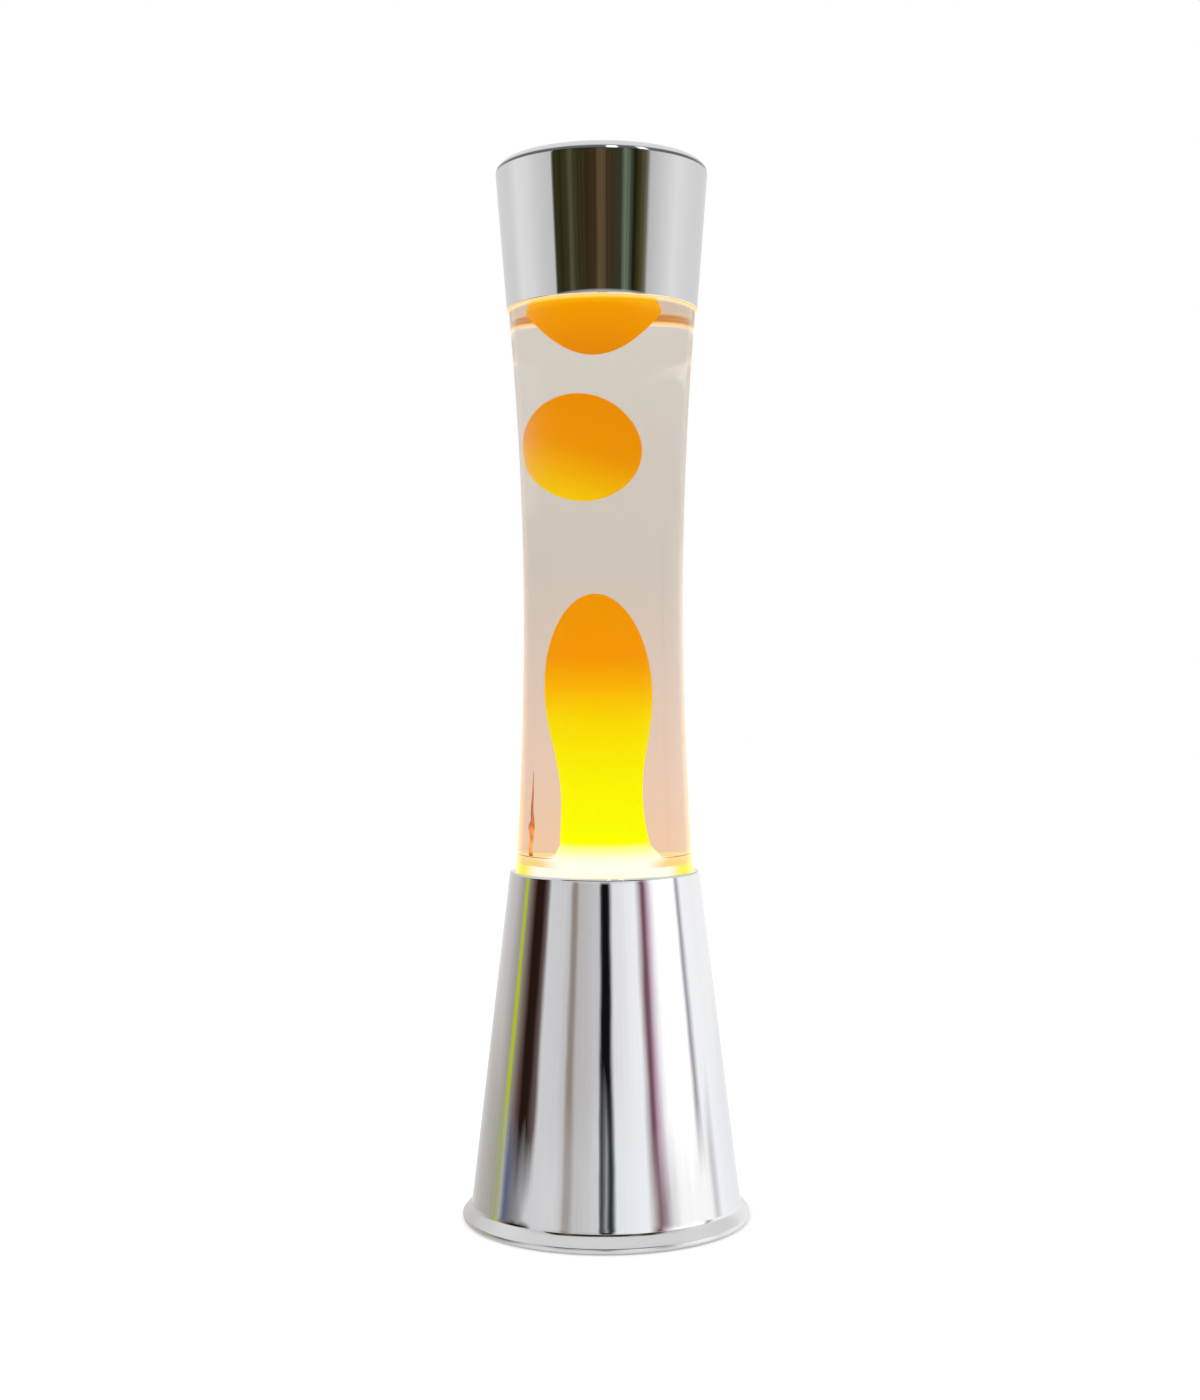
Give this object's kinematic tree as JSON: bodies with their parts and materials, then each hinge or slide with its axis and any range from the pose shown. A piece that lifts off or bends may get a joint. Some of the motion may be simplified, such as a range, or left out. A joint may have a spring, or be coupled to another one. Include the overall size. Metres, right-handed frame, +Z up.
{
  "type": "lava lamp",
  "caption": "Lava lamp: a waisted glass bottle of clear liquid and wax that lifts out of a chromed cone, with a lift-off chromed cap and a bulb that unscrews.",
  "frame": {"origin": "centre of the plane that the rubber feet stand on, on the lamp's axis", "axes": "+Z up along the lamp's axis, -Y the front, +Y the back, where the cord gland is"},
  "size_m": [0.1068, 0.1068, 0.395],
  "materials": {
    "chrome": "polished",
    "glass": "clear",
    "liquid": "clear",
    "wax": "waxy, glowing",
    "nickel": "nickel plated",
    "brass": "plain",
    "steel": "zinc plated",
    "tungsten": "dark",
    "bulb_glass": "frosted",
    "clear_glass": "clear",
    "bakelite": "moulded",
    "ceramic": "unglazed",
    "black_plastic": "fine texture",
    "rubber": "matte",
    "silicone": "translucent white",
    "foam": "closed-cell foam"
  },
  "bodies": {
    "base": {"base_shell": "chrome", "cord_gland": "rubber", "bottle_seat": "steel", "seat_gasket": "silicone", "bottom_cover": "black_plastic", "cover_tab_1": "steel", "cover_tab_2": "steel", "cover_tab_3": "steel", "cover_tab_4": "steel", "cover_screw_1": "steel", "cover_screw_2": "steel", "cover_screw_3": "steel", "cover_screw_4": "steel", "rubber_foot_1": "rubber", "rubber_foot_2": "rubber", "rubber_foot_3": "rubber", "rubber_foot_4": "rubber", "holder_base": "bakelite", "holder_body": "bakelite", "holder_core": "ceramic", "terminal_screw_line": "brass", "terminal_screw_neutral": "brass", "thread_sleeve": "brass", "centre_contact": "brass", "side_contact": "brass", "nipple": "steel", "nipple_nut": "steel"},
    "bulb_tip": {"bulb_tip_contact": "nickel"},
    "bulb": {"bulb_envelope": "bulb_glass", "bulb_screw_shell": "nickel", "bulb_insulator": "bakelite", "bulb_stem": "clear_glass", "bulb_filament": "tungsten"},
    "bottle": {"glass_bottle": "glass", "crown_cap": "nickel", "crown_seal": "silicone", "liquid": "liquid", "wax_column": "wax", "wax_coil": "steel"},
    "blob": {"wax_blob": "wax"},
    "top_blob": {"wax_top_blob": "wax"},
    "cap": {"cap_shell": "chrome", "cap_foam_ring": "foam"}
  },
  "joints": [
    {"name": "bottle_lift", "type": "slide", "parent": "base", "child": "bottle", "axis": [0, 0, 1], "range_m": [0, 0.06]},
    {"name": "cap_lift", "type": "slide", "parent": "bottle", "child": "cap", "axis": [0, 0, 1], "range_m": [0, 0.075]},
    {"name": "bulb_rise", "type": "slide", "parent": "base", "child": "bulb_tip", "axis": [0, 0, 1], "range_m": [0, 0.00847]},
    {"name": "bulb_turn", "type": "hinge", "parent": "bulb_tip", "child": "bulb", "pos_m": [0, 0, 0.038], "axis": [0, 0, 1], "range_deg": [0, 1080]},
    {"name": "blob_drift", "type": "slide", "parent": "bottle", "child": "blob", "axis": [0, 0, 1], "range_m": [-0.032, 0.007], "deforming": ["liquid"]},
    {"name": "top_blob_sink", "type": "slide", "parent": "bottle", "child": "top_blob", "axis": [0, 0, 1], "range_m": [-0.006, 0], "deforming": ["liquid"]}
  ],
  "couplings": [
    {"joint": "bulb_rise", "follows": "bulb_turn", "m_per_rad": 0.00044882}
  ]
}
